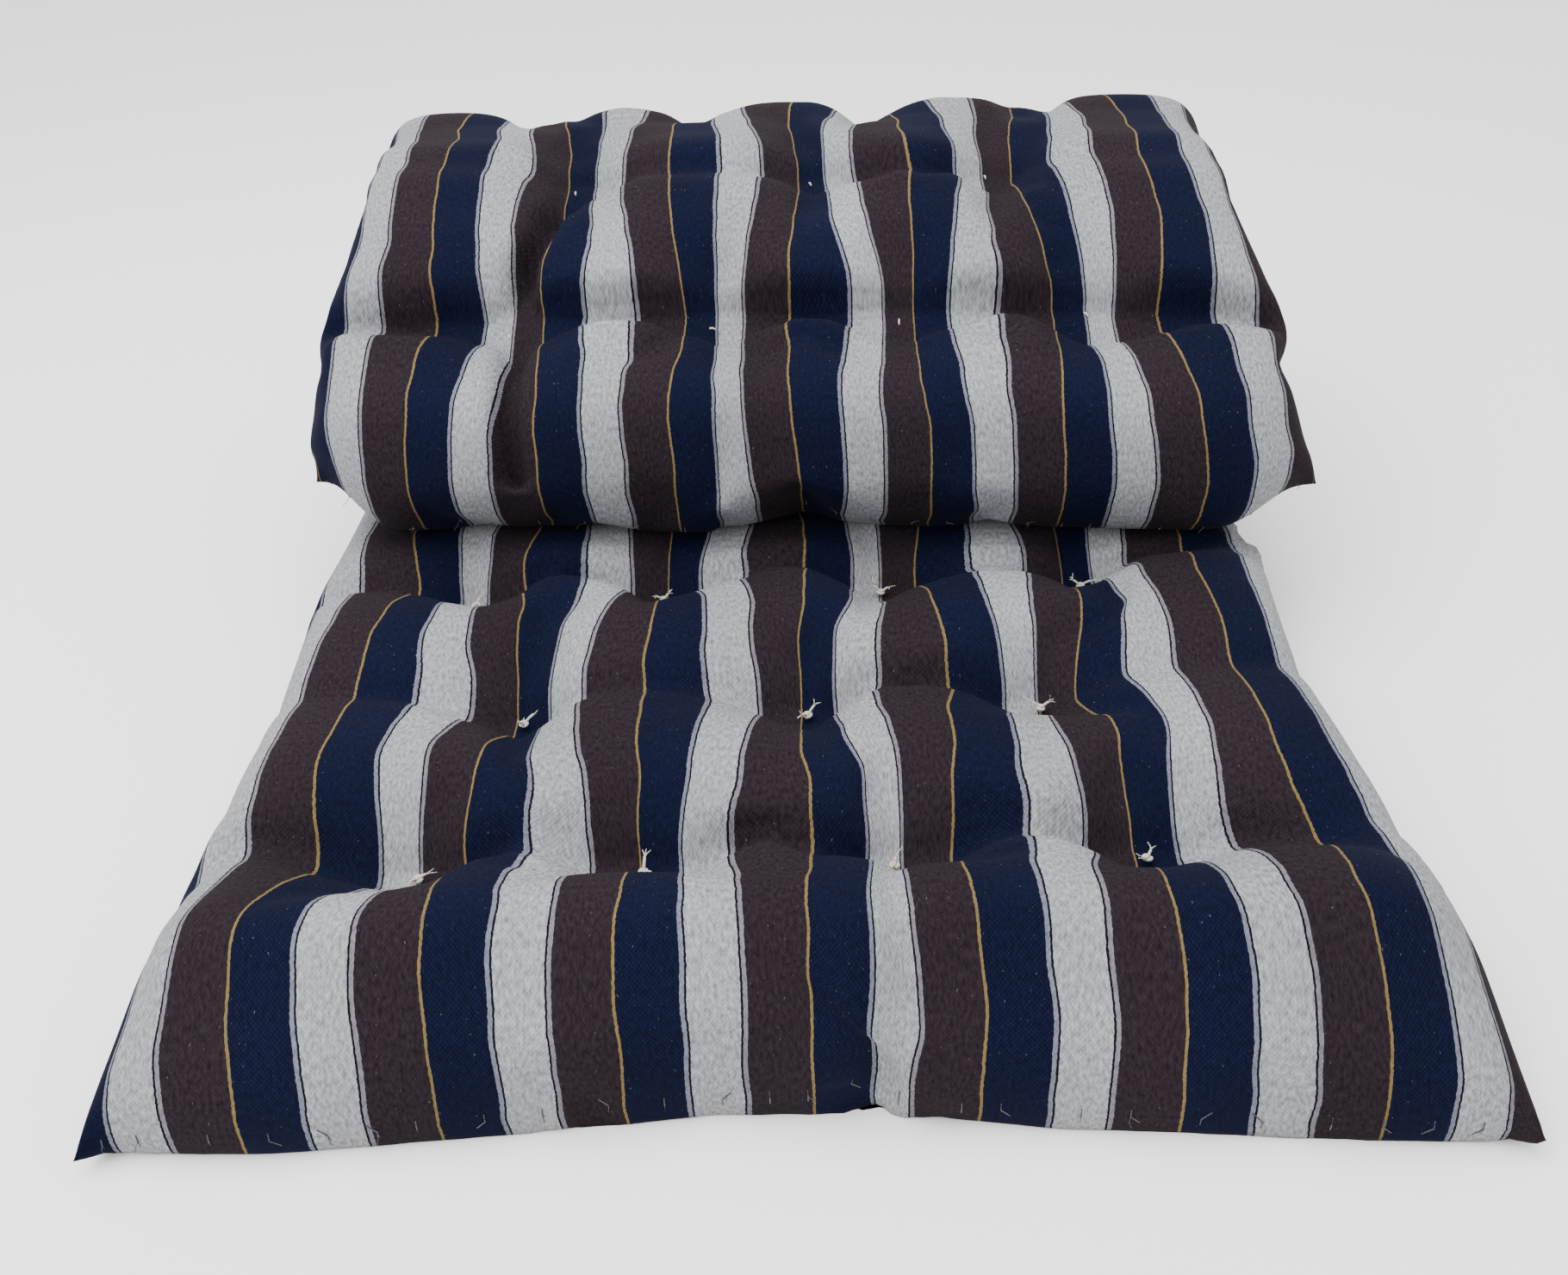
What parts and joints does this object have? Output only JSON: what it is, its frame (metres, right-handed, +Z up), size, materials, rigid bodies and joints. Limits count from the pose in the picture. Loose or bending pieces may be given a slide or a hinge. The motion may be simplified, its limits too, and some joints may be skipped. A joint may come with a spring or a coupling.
{
  "type": "futon mattress",
  "caption": "Tufted cotton futon mattress in striped ticking, folded over on itself, with pinched tie rows that fold like hinges.",
  "frame": {"origin": "on the floor, under the middle of the folded mattress", "axes": "+Z up; +Y runs from the free front edge of the lower layer to the fold at the back; +X to the right seen from the front"},
  "size_m": [0.914, 1.1248, 0.3721],
  "materials": {
    "striped_ticking": "plain-weave cotton ticking in navy, heathered grey and brown stripes",
    "cotton_batting": "carded cotton wadding",
    "cotton_twine": "twisted cotton twine"
  },
  "bodies": {
    "lower_layer": {"batting_lower_layer": "cotton_batting", "cover_back_lower_layer": "striped_ticking", "cover_face_lower_layer": "striped_ticking", "tie_row2_1": "cotton_twine", "tie_row2_2": "cotton_twine", "tie_row2_3": "cotton_twine", "tie_row3_1": "cotton_twine", "tie_row3_2": "cotton_twine", "tie_row3_3": "cotton_twine", "tie_row3_4": "cotton_twine", "tie_row4_1": "cotton_twine", "tie_row4_2": "cotton_twine", "tie_row4_3": "cotton_twine", "tie_row5_1": "cotton_twine", "tie_row5_2": "cotton_twine", "tie_row5_3": "cotton_twine", "tie_row5_4": "cotton_twine"},
    "panel_2": {"batting_panel_2": "cotton_batting", "cover_back_panel_2": "striped_ticking", "cover_face_panel_2": "striped_ticking", "tie_row1_1": "cotton_twine", "tie_row1_2": "cotton_twine", "tie_row1_3": "cotton_twine", "tie_row1_4": "cotton_twine"},
    "panel_1": {"batting_panel_1": "cotton_batting", "cover_back_panel_1": "striped_ticking", "cover_face_panel_1": "striped_ticking", "end_seam_panel_1": "cotton_twine"},
    "panel_6": {"batting_panel_6": "cotton_batting", "cover_back_panel_6": "striped_ticking", "cover_face_panel_6": "striped_ticking", "tie_row6_1": "cotton_twine", "tie_row6_2": "cotton_twine", "tie_row6_3": "cotton_twine"},
    "panel_7": {"batting_panel_7": "cotton_batting", "cover_back_panel_7": "striped_ticking", "cover_face_panel_7": "striped_ticking", "tie_row7_1": "cotton_twine", "tie_row7_2": "cotton_twine", "tie_row7_3": "cotton_twine", "tie_row7_4": "cotton_twine"},
    "panel_8": {"batting_panel_8": "cotton_batting", "cover_back_panel_8": "striped_ticking", "cover_face_panel_8": "striped_ticking", "tie_row8_1": "cotton_twine", "tie_row8_2": "cotton_twine", "tie_row8_3": "cotton_twine"},
    "panel_9": {"batting_panel_9": "cotton_batting", "cover_back_panel_9": "striped_ticking", "cover_face_panel_9": "striped_ticking", "tie_row9_1": "cotton_twine", "tie_row9_2": "cotton_twine", "tie_row9_3": "cotton_twine", "tie_row9_4": "cotton_twine"},
    "panel_10": {"batting_panel_10": "cotton_batting", "cover_back_panel_10": "striped_ticking", "cover_face_panel_10": "striped_ticking", "end_seam_panel_10": "cotton_twine"}
  },
  "joints": [
    {"name": "lift_row2", "type": "hinge", "parent": "lower_layer", "child": "panel_2", "pos_m": [0, -0.19661, 0.0508], "axis": [-1, 0, 0], "range_deg": [0, 35]},
    {"name": "lift_row1", "type": "hinge", "parent": "panel_2", "child": "panel_1", "pos_m": [0, -0.37951, 0.0508], "axis": [-1, 0, 0], "range_deg": [0, 35]},
    {"name": "unfold_row7", "type": "hinge", "parent": "panel_7", "child": "panel_8", "pos_m": [0, 0.50372, 0.31343], "axis": [-1, 0, 0], "range_deg": [0, 82]},
    {"name": "unfold_row5", "type": "hinge", "parent": "lower_layer", "child": "panel_6", "pos_m": [0, 0.35209, 0.0508], "axis": [-1, 0, 0], "range_deg": [0, 26]},
    {"name": "unfold_row6", "type": "hinge", "parent": "panel_6", "child": "panel_7", "pos_m": [0, 0.51648, 0.13098], "axis": [-1, 0, 0], "range_deg": [0, 68]},
    {"name": "unfold_row8", "type": "hinge", "parent": "panel_8", "child": "panel_9", "pos_m": [0, 0.32126, 0.32619], "axis": [-1, 0, 0], "range_deg": [0, 28]},
    {"name": "unfold_row9", "type": "hinge", "parent": "panel_9", "child": "panel_10", "pos_m": [0, 0.15418, 0.2518], "axis": [-1, 0, 0], "range_deg": [0, 20.64]}
  ],
  "couplings": [
    {"joint": "lift_row1", "follows": "lift_row2", "ratio": 1},
    {"joint": "unfold_row5", "follows": "unfold_row7", "ratio": 0.31707},
    {"joint": "unfold_row6", "follows": "unfold_row7", "ratio": 0.82927},
    {"joint": "unfold_row8", "follows": "unfold_row7", "ratio": 0.34146},
    {"joint": "unfold_row9", "follows": "unfold_row7", "ratio": 0.25175}
  ]
}
